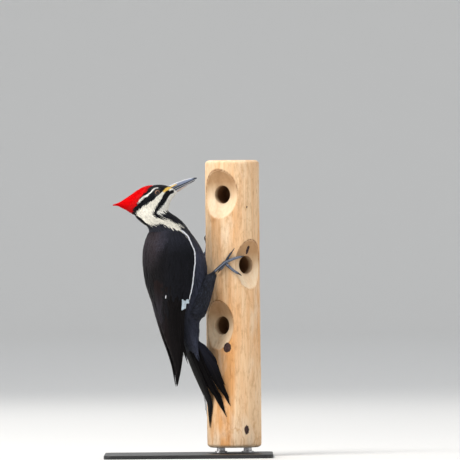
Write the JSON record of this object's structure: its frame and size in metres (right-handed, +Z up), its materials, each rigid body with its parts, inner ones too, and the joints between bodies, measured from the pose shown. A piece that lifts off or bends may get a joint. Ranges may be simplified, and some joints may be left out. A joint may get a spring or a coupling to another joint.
{
  "type": "pileated woodpecker",
  "caption": "Life-size pileated woodpecker clinging upright to a cut length of peeled log with drilled food ports, held on a flat display stand.",
  "frame": {"origin": "middle of the base plate's underside, which is also the bottom centre of the whole part's box", "axes": "+Z up along the log; +X to the right as one faces the long front of the plate, with the log towards +X and the bird towards -X; +Y away from that front"},
  "size_m": [0.24, 0.146, 0.4225],
  "materials": {
    "stand_plate": "fine satin black paint on a flat steel plate",
    "stand_rod": "turned and brushed, with a collar at the plate",
    "peeled_wood": "dry peeled softwood with orange streaks, darker in the scooped ports",
    "black_plumage": "soft slate black body feathers with paler edges",
    "face_plumage": "short feathers in black and cream stripes",
    "crest_plumage": "long hair-like scarlet feathers",
    "bill_horn": "satin slate blue horn, darker at the tip",
    "eye": "wet gloss, brown iris round a black pupil",
    "flight_feather": "smooth brownish black vanes with a glossy shaft",
    "scaled_foot": "small plates of blue-grey skin",
    "claw_horn": "dark polished horn"
  },
  "bodies": {
    "root": {"stand_base": "stand_plate", "stand_rod_1": "stand_rod", "stand_rod_2": "stand_rod", "perch_log": "peeled_wood", "trunk": "black_plumage", "neck": "face_plumage", "head": "face_plumage", "crest": "crest_plumage", "bill_upper": "bill_horn", "bill_lower": "bill_horn", "eye_right": "eye", "wing_right": "flight_feather", "thigh_right": "black_plumage", "tarsus_right": "scaled_foot", "toe_right_1": "scaled_foot", "toe_right_2": "scaled_foot", "toe_right_3": "scaled_foot", "toe_right_4": "scaled_foot", "claw_right_1": "claw_horn", "claw_right_2": "claw_horn", "claw_right_3": "claw_horn", "claw_right_4": "claw_horn", "tail_feather_right_1": "flight_feather", "tail_feather_right_2": "flight_feather", "tail_feather_right_3": "flight_feather", "tail_feather_right_4": "flight_feather", "tail_feather_right_5": "flight_feather", "eye_left": "eye", "wing_left": "flight_feather", "thigh_left": "black_plumage", "tarsus_left": "scaled_foot", "toe_left_1": "scaled_foot", "toe_left_2": "scaled_foot", "toe_left_3": "scaled_foot", "toe_left_4": "scaled_foot", "claw_left_1": "claw_horn", "claw_left_2": "claw_horn", "claw_left_3": "claw_horn", "claw_left_4": "claw_horn", "tail_feather_left_1": "flight_feather", "tail_feather_left_2": "flight_feather", "tail_feather_left_3": "flight_feather", "tail_feather_left_4": "flight_feather", "tail_feather_left_5": "flight_feather"}
  },
  "joints": []
}
